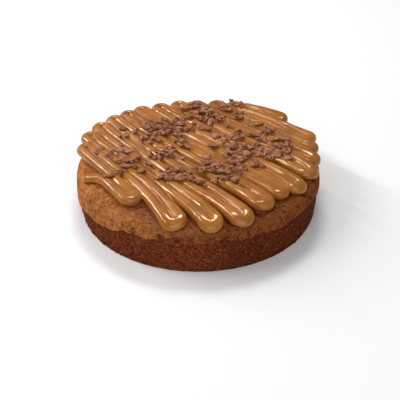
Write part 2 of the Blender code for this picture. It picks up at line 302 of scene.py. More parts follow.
@dataclass(frozen=True)
class BakedSponge:
    """Open chocolate crumb, and the paler crust baked on it."""

    crumb: Colour = screen_colour(124, 59, 31)
    # This dark colour serves both the crumb's own dark tones and the painted shade on its right.
    crumb_dark_and_shade: Colour = screen_colour(80, 30, 12)
    # A paler crumb colour, used near the top and most at the left.
    crumb_paler_up_left: Colour = screen_colour(168, 104, 68)
    crumb_tones: tuple[float, float] = (0.0, 0.8)
    crumb_grains: Tint = Tint(screen_colour(166, 98, 60), 0.55, 0.68, 0.75)
    # The crust turns from its left colour to a darker right: painted shade, with the left lit and the right
    # in shade.
    crust_left: Colour = screen_colour(178, 112, 62)
    crust_shaded_right: Colour = screen_colour(124, 68, 31)
    crust_patches: Tint = Tint(screen_colour(118, 62, 29), 0.45, 0.68, 0.55)
    crust_worn: Tint = Tint(screen_colour(118, 62, 29), 0.5, 0.38, 0.8)
    crust_pale: Tint = Tint(screen_colour(208, 146, 98), 0.54, 0.7, 0.45)
    # The pale mottle fades towards the right, under the painted shade.
    pale_less_in_shade: float = 0.3
    # Painted shade, laid into the crevices between crumbs and into the crust's pits, cracks and creases.
    hollow_shade: Colour = screen_colour(44, 15, 5)
    grain_size: float = 0.0014
    patch_size: float = 0.009
    mottle_size: float = 0.0034
    # Painted shade: the crust turns to its darker right over this span of x.
    crust_shade_span: tuple[float, float] = (-0.095, 0.035)  # x where the crust turns to its darker right
    # Painted shade: the crumb darkens towards the right over this span of x.
    crumb_shade_span: tuple[float, float] = (0.0, 0.035)  # x where the crumb turns darker
    crumb_shade: float = 0.75
    roughness: float = 0.88
    gloss: float = 0.06
    relief: float = 0.0005

    def material(self) -> bpy.types.Material:
        """Builds the finish. The mesh carries where the crust lies and how much painted shade darkens its
        hollows.

        Returns:
            The material.
        """
        graph = Graph("baked_sponge")
        crust = graph.stored_value("crust")
        tone = graph.stored_value("tone")
        hollow_shade = graph.stored_value("hollow_shade")
        grain = graph.grain(self.grain_size, 3.0, 0.6)
        patches = graph.grain(self.patch_size, 3.0, 0.6)
        mottle = graph.grain(self.mottle_size, 4.0, 0.7)
        side = Value(graph, graph.node("ShaderNodeSeparateXYZ", None, {0: graph.places()}).outputs["X"])
        # Painted shade: the crust and its pale mottle darken towards the right.
        right = side.between(*self.crust_shade_span)
        crumb = graph.mixed(tone.between(*self.crumb_tones), self.crumb_dark_and_shade, self.crumb)
        # Painted shade darkens the crumb towards the right.
        crumb = graph.mixed(side.between(*self.crumb_shade_span) * self.crumb_shade, crumb, self.crumb_dark_and_shade)
        # The crumb turns paler near the top, most at the left.
        crumb = graph.mixed(graph.stored_value("shoulder"), crumb, self.crumb_paler_up_left)
        crumb = self.crumb_grains.over(grain, crumb)
        baked = graph.mixed(right, self.crust_left, self.crust_shaded_right)
        baked = self.crust_patches.over(patches, baked)
        baked = self.crust_pale.over(mottle, baked, self.crust_pale.most - self.pale_less_in_shade * right)
        baked = self.crust_worn.over(mottle, baked)
        colour = graph.mixed(crust, crumb, baked)
        # Painted shade in the hollows.
        colour = graph.mixed(hollow_shade, colour, self.hollow_shade)
        return graph.finish({
            "Base Color": colour,
            "Roughness": self.roughness,
            "Specular IOR Level": self.gloss,
            "Normal": graph.bump(grain, self.relief),
        })


@dataclass(frozen=True)
class GlossyIcing:
    """Smooth caramel coloured icing with faint drag marks along the rope."""

    colour: Colour = screen_colour(171, 107, 44)
    deeper: Tint = Tint(screen_colour(150, 91, 34), 0.35, 0.65)
    shine: Colour = screen_colour(255, 228, 192)
    gloss: float = 0.65
    patch_size: float = 0.022
    roughness: float = 0.08
    dulling: float = 0.05
    streak_width: float = 0.7
    streak_length: float = 40.0
    streak_relief: float = 0.00009
    scatter: float = 0.12
    scatter_reach: float = 0.004
    scatter_colour: Colour = (1.0, 0.5, 0.25)

    def material(self) -> bpy.types.Material:
        """Builds the finish. The mesh carries the place along and across the rope, in mm.

        Returns:
            The material.
        """
        graph = Graph("glossy_icing")
        along = graph.stored("rope_place").outputs["Vector"]
        scale = (1 / self.streak_length, 1 / self.streak_width, 1.0)
        streaks = graph.grain(1.0, 2.0, 0.5, graph.stretched(along, scale))
        patches = graph.grain(self.patch_size, 2.0)
        return graph.finish({
            "Base Color": self.deeper.over(patches, self.colour),
            "Roughness": self.roughness + self.dulling * patches,
            "Specular IOR Level": self.gloss,
            "Specular Tint": self.shine,
            "Subsurface Weight": self.scatter,
            "Subsurface Scale": self.scatter_reach,
            "Subsurface Radius": self.scatter_colour,
            "Normal": graph.bump(streaks, self.streak_relief),
        })


@dataclass(frozen=True)
class ChoppedMilkChocolate:
    """Dull chopped chocolate, paler on its cut faces."""

    colour: Colour = screen_colour(168, 100, 62)
    shade: Colour = screen_colour(62, 22, 8)
    dusty_grains: Tint = Tint(screen_colour(220, 160, 118), 0.48, 0.7, 0.6)
    dusty_streaks: Tint = Tint(screen_colour(220, 160, 118), 0.53, 0.66, 0.7)
    dark_streaks: Tint = Tint(screen_colour(62, 22, 8), 0.46, 0.36, 0.85)
    grain_size: float = 0.0009
    streak_size: float = 0.0026
    roughness: float = 0.45
    gloss: float = 0.3
    relief: float = 0.0005

    def material(self) -> bpy.types.Material:
        """Builds the finish. The mesh carries a tone for each piece, with painted shade towards each piece's
        underside.

        Returns:
            The material.
        """
        graph = Graph("chopped_chocolate")
        tone = graph.stored_value("tone")
        grain = graph.grain(self.grain_size, 3.0, 0.6)
        streaks = graph.grain(self.streak_size, 4.0, 0.75)
        colour = graph.mixed(tone, self.shade, self.colour)
        colour = self.dusty_grains.over(grain, colour)
        colour = self.dusty_streaks.over(streaks, colour)
        colour = self.dark_streaks.over(streaks, colour)
        return graph.finish({
            "Base Color": colour,
            "Roughness": self.roughness,
            "Specular IOR Level": self.gloss,
            "Normal": graph.bump(grain, self.relief),
        })


# Mesh tools

def make_object(name: str, points: np.ndarray, faces: Sequence[Sequence[int]],
                values: dict[str, np.ndarray]) -> bpy.types.Object:
    """Makes a smooth mesh object that carries values on its points.

    Args:
        name: The object's name.
        points: Places in metres, one row each.
        faces: Point numbers of each face.
        values: Numbers, or rows of three, for each point, by name.

    Returns:
        The object, in the scene.
    """
    mesh = bpy.data.meshes.new(name)
    mesh.from_pydata(points.tolist(), [], faces)
    for key, numbers in values.items():
        store(mesh, key, numbers)
    mesh.shade_smooth()
    piece = bpy.data.objects.new(name, mesh)
    bpy.context.scene.collection.objects.link(piece)
    return piece


def store(mesh: bpy.types.Mesh, name: str, numbers: np.ndarray) -> None:
    """Stores a number or a vector on each point of a mesh.

    Args:
        mesh: The mesh.
        name: Name for the shader to read it by.
        numbers: One number, or one row of three, for each point.
    """
    if numbers.ndim == 2:
        layer = mesh.attributes.new(name, "FLOAT_VECTOR", "POINT")
        layer.data.foreach_set("vector", numbers.astype(np.float32).ravel())
    else:
        layer = mesh.attributes.new(name, "FLOAT", "POINT")
        layer.data.foreach_set("value", numbers.astype(np.float32))


def read_points(mesh: bpy.types.Mesh) -> np.ndarray:
    """The places of a mesh's points, one row each."""
    flat = np.empty(len(mesh.vertices) * 3, np.float64)
    mesh.vertices.foreach_get("co", flat)
    return flat.reshape(-1, 3)


def smooth_step(numbers: np.ndarray, low: float, high: float) -> np.ndarray:
    """Rises smoothly from 0 at low to 1 at high."""
    share = np.clip((numbers - low) / (high - low), 0.0, 1.0)
    return share * share * (3 - 2 * share)


def lumps(points: np.ndarray, size: float, layers: int = 1, away: float = 0.0) -> np.ndarray:
    """Soft irregular noise, about -1 to 1.

    Args:
        points: Where it is looked up, one row each.
        size: Size of its largest lumps, in the points' units.
        layers: Number of layers, each half the size of the one before.
        away: Shifts the pattern.

    Returns:
        One number for each point.
    """
    shift = Vector((away, 2 * away, 3 * away))
    places = (Vector(p) / size + shift for p in points.tolist())
    if layers == 1:
        return np.fromiter((noise.noise(p) for p in places), float, len(points))
    return np.fromiter((noise.fractal(p, 1.0, 2.0, layers) for p in places), float, len(points))


@dataclass(frozen=True)
class Lumpiness:
    """One pattern of soft irregular noise: the size of its lumps, its layers and where it starts."""

    size: float
    layers: int = 1
    away: float = 0.0

    def at(self, points: np.ndarray) -> np.ndarray:
        """The noise at each point, about -1 to 1."""
        return lumps(points, self.size, self.layers, self.away)


CREVICE_WIDTH = 0.45
TONE_MIX = np.array([12.99, 78.23, 37.72])
TONE_SPREAD = 437.5


def crumbs(points: np.ndarray, size: float) -> tuple[np.ndarray, np.ndarray]:
    """Packed crumbs.

    Args:
        points: Where they are looked up, one row each.
        size: Size of a crumb, in the points' units.

    Returns:
        How deep each point lies between crumbs, 0 in the middle of one and up to 1 between two, and a
        number from 0 to 1 that is the same all over a crumb.
    """
    found = [noise.voronoi(Vector(p) / size) for p in points.tolist()]
    near = np.array([distances[:2] for distances, _ in found])
    middles = np.array([tuple(places[0]) for _, places in found])
    tone = np.mod(np.abs(np.sin(middles @ TONE_MIX)) * TONE_SPREAD, 1.0)
    return 1 - np.clip((near[:, 1] - near[:, 0]) / CREVICE_WIDTH, 0.0, 1.0), tone


class SurfaceNet:
    """Turns a sampled field, negative inside, into a closed mesh with one point in each cell it crosses."""

    def __init__(self, samples: np.ndarray, origin: Sequence[float], step: float) -> None:
        """Keeps the field.

        Args:
            samples: The field on a grid of X, Y and Z.
            origin: Place of the first sample.
            step: Distance between samples.
        """
        self.samples = samples
        self.inside = samples < 0.0
        self.origin = np.array(origin)
        self.step = step

    def cells(self) -> np.ndarray:
        """The cells that the surface crosses, one row of three numbers each."""
        count = np.zeros([n - 1 for n in self.inside.shape], np.int8)
        for corner in product((0, 1), repeat=3):
            count += self.inside[tuple(slice(d, n - 1 + d) for d, n in zip(corner, self.inside.shape))]
        return np.argwhere((count > 0) & (count < 8))

    def points(self, cells: np.ndarray) -> np.ndarray:
        """One point in each cell, the mean of where the surface cuts the cell's edges.

        Args:
            cells: The crossed cells.

        Returns:
            The points, one row each.
        """
        total = np.zeros((len(cells), 3))
        number = np.zeros(len(cells))
        for axis in range(3):
            for sides in product((0, 1), repeat=2):
                start = np.insert(sides, axis, 0)
                end = np.insert(sides, axis, 1)
                a = self.samples[tuple((cells + start).T)]
                b = self.samples[tuple((cells + end).T)]
                cut = (a < 0) != (b < 0)
                share = np.where(cut, a / np.where(cut, a - b, 1.0), 0.0)
                place = start + share[:, None] * (end - start)
                total[cut] += place[cut]
                number[cut] += 1
        return self.origin + self.step * (cells + total / number[:, None])

    def faces(self, cells: np.ndarray) -> np.ndarray:
        """A four-sided face across each grid line that the surface cuts.

        Args:
            cells: The crossed cells.

        Returns:
            Point numbers, one row of four for each face.
        """
        number = np.full([n - 1 for n in self.inside.shape], -1)
        number[tuple(cells.T)] = np.arange(len(cells))
        found = []
        for axis in range(3):
            one, two = (axis + 1) % 3, (axis + 2) % 3
            low = [slice(1, -1)] * 3
            low[axis] = slice(0, -1)
            high = list(low)
            high[axis] = slice(1, None)
            starts, ends = self.inside[tuple(low)], self.inside[tuple(high)]
            for mask, order in ((starts & ~ends, 1), (~starts & ends, -1)):
                at = np.argwhere(mask)
                at[:, one] += 1
                at[:, two] += 1
                corners = []
                for back_one, back_two in ((0, 0), (1, 0), (1, 1), (0, 1))[::order]:
                    cell = at.copy()
                    cell[:, one] -= back_one
                    cell[:, two] -= back_two
                    corners.append(number[tuple(cell.T)])
                found.append(np.stack(corners, 1))
        return np.concatenate(found)

    def mesh(self) -> tuple[np.ndarray, np.ndarray]:
        """The points and faces of the surface."""
        cells = self.cells()
        return self.points(cells), self.faces(cells)


# The cake

@dataclass
class Sponge:
    """The baked sponge: a barrelled side, a rounded shoulder, a crust above and open crumb below."""

    base_radius: float = 100.0  # mm
    bulge: float = 2.3  # mm
    bulge_height: float = 23.0  # mm
    top_height: float = 39.5  # mm
    shoulder: float = 7.5  # mm
    foot_round: float = 1.5  # mm
    foot_corner: float = 0.35
    foot_relief: tuple[float, float] = (0.8, 0.6)
    inset: float = 0.16  # mm

    # Edge of the crust
    edge_middle: float = 24.0  # mm
    edge_rise_in_front: float = 6.0  # mm
    edge_fall_at_left: float = 13.0  # mm
    edge_wave: float = 3.0  # mm
    edge_waves: float = 4.0
    edge_bays: Lumpiness = Lumpiness(9.0, 3, 5.0)
    edge_bay: float = 2.2  # mm
    edge_nicks: Lumpiness = Lumpiness(2.4, 2, 6.0)
    edge_nick: float = 0.9  # mm
    edge_width: tuple[float, float] = (-0.5, 0.5)  # mm
    crust_step: float = 1.1  # mm

    # Where the crust is whole. A pair in mm says where something starts and where it is complete.
    breaks_up: tuple[float, float] = (-72.0, -30.0)  # mm of x
    less_by: float = 1.25
    holds_at_right: tuple[float, float] = (25.0, 62.0)  # mm of x
    right_breaks_less: float = 0.4
    right_bares_less: float = 0.8
    bare_near_icing: tuple[float, float] = (99.0, 90.0)  # mm from the axis
    bare_from_left: tuple[float, float] = (-76.0, -60.0)  # mm of x
    bare_by: float = 0.7
    big_flakes: Lumpiness = Lumpiness(8.0, 3, 17.0)
    big_flake: float = 1.1
    small_flakes: Lumpiness = Lumpiness(2.0, 2, 19.0)
    small_flake: float = 0.8
    whole_by: float = 1.5
    flake_edge: tuple[float, float] = (-0.15, 0.35)

    # Crumb
    crags: Lumpiness = Lumpiness(6.5)
    crag_depth: float = 1.0  # mm
    crust_crags: float = 0.35
    coarse_size: float = 2.5  # mm
    coarse_shift: Lumpiness = Lumpiness(3.0, 2, 9.0)
    coarse_shift_by: float = 0.9  # mm
    coarse_depth: float = 0.7  # mm
    fine_size: float = 1.4  # mm
    fine_depth: float = 0.4  # mm
    pores: Lumpiness = Lumpiness(2.1, 2, 3.0)
    pore_depth: float = 0.9  # mm
    grain_depth: float = 0.85
    grain_on_crust: float = 0.15
    bare_depth: float = 0.4  # mm
    # How much painted shade the coarse and fine crevices and the pores get, and how much less raised crumbs
    # get.
    crumb_hollow_shade: tuple[float, float, float] = (0.3, 0.2, 0.8)
    crumb_raised: float = 0.15
    coarse_tone: float = 0.6
    # Where the crumb turns paler: near the top, and most at the left.
    paler_height: tuple[float, float] = (33.0, 37.5)  # mm
    paler_at_left: tuple[float, float] = (50.0, -30.0)  # mm of x
    paler_by: float = 0.7

    # Marks in the crust: how deep each is in mm, and how much painted shade darkens it
    pitted: Lumpiness = Lumpiness(14.0, 2, 7.0)
    pitted_where: tuple[float, float] = (-0.2, 0.3)
    pits: Lumpiness = Lumpiness(2.3, 2, 11.0)
    pit_edge: tuple[float, float] = (0.3, 0.55)
    pit_depth: float = 0.4
    pit_shade: float = 0.5
    creases: Lumpiness = Lumpiness(5.0, 3, 23.0)
    crease_width: float = 0.09
    crease_depth: float = 0.22
    crease_shade: float = 0.22
    cracks: Lumpiness = Lumpiness(12.0, 3, 13.0)
    crack_width: tuple[float, float] = (0.05, 0.01)
    cracked: tuple[float, float] = (-92.0, -60.0)  # mm of x
    crack_depth: float = 0.8
    crack_shade: float = 0.5
    darkest: float = 0.9

    # Mesh
    segments: int = 860
    ring_step: float = 0.62  # mm
    inner_rings: Sequence[float] = (20.0, 42.0, 60.0, 70.0)  # mm
    covered_radius: float = 76.0  # mm, inside which the icing hides the top
    finish: BakedSponge = BakedSponge()

    def side_radius(self, height: Any) -> Any:
        """Radius of the turned form at a height, both in mm."""
        lean = (height - self.bulge_height) / self.bulge_height
        return self.base_radius + self.bulge * (1 - lean * lean)

    def arc_middle(self) -> tuple[float, float]:
        """Radius and height of the middle of the shoulder's arc, in mm."""
        spring = self.top_height - self.shoulder
        return self.side_radius(spring) - self.shoulder, spring

    def outside(self, radius: np.ndarray, height: np.ndarray) -> np.ndarray:
        """How far places lie outside the turned form.

        Args:
            radius: Distances from the axis in mm.
            height: Heights in mm.

        Returns:
            Distances in mm, negative inside.
        """
        middle, spring = self.arc_middle()
        over_top = height - self.top_height
        at_arc = np.hypot(radius - middle, height - spring) - self.shoulder
        at_side = radius - self.side_radius(height)
        return np.where(radius < middle, over_top, np.where(height > spring, at_arc, at_side))

    def profile(self) -> tuple[np.ndarray, np.ndarray]:
        """The turned form's outline from near the axis to the foot.

        Returns:
            Radius and height, and the outward direction, one row for each ring, in mm.
        """
        middle, spring = self.arc_middle()
        flat = (*self.inner_rings, *np.arange(self.covered_radius, middle, self.ring_step))
        rings = [((r, self.top_height), (0.0, 1.0)) for r in flat]
        for turn in np.linspace(math.pi / 2, 0.0, round(self.shoulder * math.pi / 2 / self.ring_step)):
            out = (math.cos(turn), math.sin(turn))
            rings.append(((middle + self.shoulder * out[0], spring + self.shoulder * out[1]), out))
        steps = round((spring - self.foot_round) / self.ring_step)
        for z in np.linspace(spring, self.foot_round, steps + 1)[1:]:
            rings.append(((self.side_radius(z), z), (1.0, 0.0)))
        foot = self.side_radius(self.foot_round)
        corner = self.foot_corner * self.foot_round
        rings.append(((foot - corner, corner), (self.foot_relief[0], 0.0)))
        rings.append(((foot - self.foot_round, 0.0), (self.foot_relief[1], 0.0)))
        return np.array([r[0] for r in rings]), np.array([r[1] for r in rings])

    def crust_edge(self, points: np.ndarray) -> np.ndarray:
        """Height in mm at which the crust ends, above each point: low at the left and high in front."""
        angle = np.arctan2(points[:, 1], points[:, 0])
        front = 0.5 - 0.5 * np.sin(angle)
        left = np.maximum(0.0, -np.cos(angle))
        around = np.stack([np.cos(angle), np.sin(angle), np.ones_like(angle)], 1)
        ragged = lumps(around, 1 / self.edge_waves)
        return (self.edge_middle + self.edge_rise_in_front * front
                - self.edge_fall_at_left * left ** 3 + self.edge_wave * ragged)

    def covered(self, points: np.ndarray) -> tuple[np.ndarray, np.ndarray]:
        """Where the crust lies: whole at the left, in flakes in front, and gone in patches near the icing.

        Args:
            points: Places on the turned form, in mm.

        Returns:
            0 to 1 for how far each point lies below the crust's edge, and 0 to 1 for how much crust it has.
        """
        x = points[:, 0]
        edge = self.crust_edge(points) + self.edge_bay * self.edge_bays.at(points)
        edge = edge + self.edge_nick * self.edge_nicks.at(points)
        below = smooth_step(edge - points[:, 2], *self.edge_width)
        right = smooth_step(x, *self.holds_at_right)
        broken = smooth_step(x, *self.breaks_up) * (1 - self.right_breaks_less * right)
        near_icing = smooth_step(np.hypot(x, points[:, 1]), *self.bare_near_icing)
        near_icing = near_icing * smooth_step(x, *self.bare_from_left) * (1 - self.right_bares_less * right)
        flakes = self.big_flake * self.big_flakes.at(points) + self.small_flake * self.small_flakes.at(points)
        whole = flakes + self.whole_by - self.less_by * broken - self.bare_by * near_icing
        return below, (1 - below) * smooth_step(whole, *self.flake_edge)

    def marks(self, points: np.ndarray) -> tuple[np.ndarray, np.ndarray]:
        """Pits, cracks and creases in the crust.

        Args:
            points: Places on the turned form, in mm.

        Returns:
            How deep they are at each point in mm, and how much painted shade darkens them, 0 to 1.
        """
        pits = smooth_step(self.pitted.at(points), *self.pitted_where)
        pits = pits * smooth_step(self.pits.at(points), *self.pit_edge)
        creases = smooth_step(np.abs(self.creases.at(points)), self.crease_width, 0.0)
        cracks = smooth_step(np.abs(self.cracks.at(points)), *self.crack_width)
        cracks = cracks * smooth_step(points[:, 0], *self.cracked)
        return (self.pit_depth * pits + self.crack_depth * cracks + self.crease_depth * creases,
                self.pit_shade * pits + self.crack_shade * cracks + self.crease_shade * creases)

    def surface(self, points: np.ndarray) -> tuple[np.ndarray, dict[str, np.ndarray]]:
        """Works out the relief and what the shader reads.

        Args:
            points: Places on the turned form, in mm.

        Returns:
            How far each point lies inside the form in mm, and the stored values by name.
        """
        below, crust = self.covered(points)
        bare = 1 - crust
        crags = self.crag_depth * (0.5 + 0.5 * self.crags.at(points))
        base = self.crust_step * below + crags * (self.crust_crags + (1 - self.crust_crags) * below)
        shift = self.coarse_shift_by * self.coarse_shift.at(points)
        coarse, coarse_tone = crumbs(points + shift[:, None], self.coarse_size)
        fine, fine_tone = crumbs(points, self.fine_size)
        pores = np.clip(self.pores.at(points), 0.0, 1.0)
        grains = self.coarse_depth * coarse + self.fine_depth * fine + self.pore_depth * pores
        grains = self.grain_depth * grains * (self.grain_on_crust + (1 - self.grain_on_crust) * bare)
        mark_depth, mark_shade = self.marks(points)
        depth = base + grains + self.bare_depth * bare * (1 - below) + crust * mark_depth + self.inset
        # Painted shade in the crevices between crumbs.
        dark = self.crumb_hollow_shade @ np.stack([coarse, fine, pores]) - self.crumb_raised
        baked = smooth_step(points[:, 2], *self.paler_height) * smooth_step(points[:, 0], *self.paler_at_left)
        return depth, {
            "crust": crust,
            "tone": self.coarse_tone * coarse_tone + (1 - self.coarse_tone) * fine_tone,
            "hollow_shade": np.clip(bare * dark + crust * mark_shade, 0.0, self.darkest),
            "shoulder": self.paler_by * baked,
        }

    def build(self) -> bpy.types.Object:
        """Makes the sponge.

        Returns:
            The sponge, in the place of its CAD node.
        """
        rings, outs = self.profile()
        angles = np.linspace(0, 2 * math.pi, self.segments, endpoint=False)
        around = np.stack([np.cos(angles), np.sin(angles)], 1)
        points = np.concatenate([
            np.concatenate([r[0] * around, np.full((self.segments, 1), r[1])], 1) for r in rings])
        directions = np.concatenate([
            np.concatenate([o[0] * around, np.full((self.segments, 1), o[1])], 1) for o in outs])
        depth, values = self.surface(points)
        seen = np.repeat(rings[:, 0] >= self.covered_radius, self.segments)
        seen |= points[:, 2] < self.top_height - self.shoulder
        points = points - directions * (depth * seen)[:, None]
        caps = np.array([[0.0, 0.0, self.top_height], [0.0, 0.0, 0.0]])
        faces = self.faces(len(rings))
        values = {name: np.append(numbers, [0.0, 0.0]) for name, numbers in values.items()}
        sponge = make_object("sponge_baked", np.concatenate([points, caps]) * MM, faces, values)
        sponge.data.materials.append(self.finish.material())
        return sponge

    def faces(self, rings: int) -> list[list[int]]:
        """Faces between the rings, and fans to the middle of the top and of the underside.

        Args:
            rings: Number of rings.

        Returns:
            Point numbers of each face, turned outwards.
        """
        n = self.segments
        top, foot = rings * n, rings * n + 1
        faces = [[top, k, (k + 1) % n] for k in range(n)]
        for ring in range(rings - 1):
            start = ring * n
            for k in range(n):
                after = (k + 1) % n
                faces.append([start + k, start + n + k, start + n + after, start + after])
        last = (rings - 1) * n
        return faces + [[foot, last + (k + 1) % n, last + k] for k in range(n)]


class Leg(Enum):
    """A leg of a turn, seen along the turn's heading."""

    LEFT = 1
    RIGHT = -1


@dataclass
class RopeRoute:
    """Where the rope's middle runs: turns at the front right and back left, and the runs between them."""

    front_turns: Sequence[tuple[float, float, float, float]] = (
        (-54.5, -56.0, -60, 4.6), (-19.5, -86.5, -68, 5.6), (9.5, -89.0, -68, 4.9), (33.5, -82.0, -62, 5.1),
        (50.5, -62.0, -60, 5.0), (64.5, -47.5, -58, 3.7), (78.5, -38.0, -54, 4.7), (89.5, -16.0, -54, 4.9),
        (93.0, 2.0, -45, 4.7), (93.0, 20.0, -36, 4.5), (92.5, 37.0, -38, 4.4), (70.2, 70.0, -34, 4.3),
    )
    back_turns: Sequence[tuple[float, float, float, float]] = (
        (-93.5, 17.0, 122, 4.7), (-91.5, 36.0, 122, 4.6), (-83.5, 52.5, 123, 4.6), (-72.5, 64.8, 124, 4.4),
        (-61.0, 73.8, 125, 4.2), (-49.5, 81.8, 127, 4.1), (-33.0, 87.0, 130, 4.5), (-16.5, 91.5, 132, 4.4),
        (-1.0, 92.0, 136, 4.3), (17.0, 92.3, 140, 4.2), (33.0, 91.0, 145, 4.0),
    )
    crossings: Sequence[float] = (
        -73.0, -64.0, -55.0, -47.5, -39.8, -31.0, -20.8, -11.8, -1.0, 7.0, 14.5, 23.5, 33.0, 42.2, 51.5,
        59.2, 66.6, 73.2, 79.4, 85.4, 92.0, 98.6,
    )
    tail: Sequence[tuple[float, float]] = ((-90.0, -25.5), (-83.0, -26.5), (-75.0, -32.5))
    last_end: Sequence[tuple[float, float]] = ((57.0, 84.0), (43.0, 91.0))
    run_step: float = 1.5  # mm
    turn_steps: int = 8

    @staticmethod
    def heading(degrees: float) -> Vector:
        """The direction in plan at an angle from +X."""
        return Vector((math.cos(math.radians(degrees)), math.sin(math.radians(degrees))))

    def half_turn(self, turn: tuple[float, float, float, float], leg: Leg) -> list[Vector]:
        """Half of a turn's arc.

        Args:
            turn: Middle x, y, heading and radius.
            leg: The leg that it starts from.

        Returns:
            Points from the leg round to the tip.
        """
        x, y, degrees, radius = turn
        ahead = self.heading(degrees)
        left = Vector((-ahead.y, ahead.x))
        points = []
        for k in range(self.turn_steps + 1):
            angle = math.pi / 2 * k / self.turn_steps
            side = left * leg.value * radius * math.cos(angle)
            points.append(Vector((x, y)) + side + ahead * radius * math.sin(angle))
        return points

    @staticmethod
    def blend(start: Vector, start_pull: Vector, end: Vector, end_pull: Vector, s: float) -> Vector:
        """A point on a cubic curve between two points with given tangents."""
        return (start * (2 * s ** 3 - 3 * s ** 2 + 1) + start_pull * (s ** 3 - 2 * s ** 2 + s)
                + end * (-2 * s ** 3 + 3 * s ** 2) + end_pull * (s ** 3 - s ** 2))

    def middle_of_run(self, start: Vector, start_ahead: Vector, via: Vector, end: Vector,
                      end_ahead: Vector) -> list[Vector]:
        """The run between two turns' arcs, without its two ends.

        Args:
            start: Where it leaves the first arc.
            start_ahead: Its direction there.
            via: The point it passes on the cake's diagonal.
            end: Where it meets the second arc.
            end_ahead: Its direction there.

        Returns:
            Points in mm.
        """
        points = []
        along = (end - start).normalized()
        for a, pull_a, b, pull_b in ((start, start_ahead, via, along), (via, along, end, end_ahead)):
            span = (b - a).length
            steps = max(2, round(span / self.run_step))
            points += [self.blend(a, pull_a * span, b, pull_b * span, k / steps) for k in range(steps)]
        return points[1:]

    def run_between(self, first: tuple, last: tuple, leg: Leg, crossing: float) -> list[Vector]:
        """One run from the tip of one turn to the tip of the next.

        Args:
            first: The turn it comes from.
            last: The turn it goes to.
            leg: The leg of both turns that it is.
            crossing: Where it crosses the diagonal.

        Returns:
            Points in mm.
        """
        start = self.half_turn(first, leg)[::-1]
        end = self.half_turn(last, leg)
        diagonal = Vector((1.0, 1.0)).normalized() * crossing
        ahead = -self.heading(first[2])
        return start + self.middle_of_run(start[-1], ahead, diagonal, end[0], self.heading(last[2])) + end

    def runs(self) -> list[np.ndarray]:
        """The middle lines of all runs in order, in mm, one row for each point."""
        tail = [Vector(p) for p in self.tail] + self.half_turn(self.front_turns[0], Leg.RIGHT)
        lines = [tail]
        for k, back in enumerate(self.back_turns):
            lines.append(self.run_between(self.front_turns[k], back, Leg.LEFT, self.crossings[2 * k]))
            after = self.front_turns[k + 1]
            lines.append(self.run_between(back, after, Leg.RIGHT, self.crossings[2 * k + 1]))
        last = self.half_turn(self.front_turns[-1], Leg.LEFT)[::-1]
        lines.append(last + [Vector(p) for p in self.last_end])
        return [np.array([tuple(p) for p in line]) for line in lines]


@dataclass
class RunMap:
    """Where one run lies, looked up on a grid: distance from its middle, and the way there."""

    distance: np.ndarray
    away_x: np.ndarray
    away_y: np.ndarray


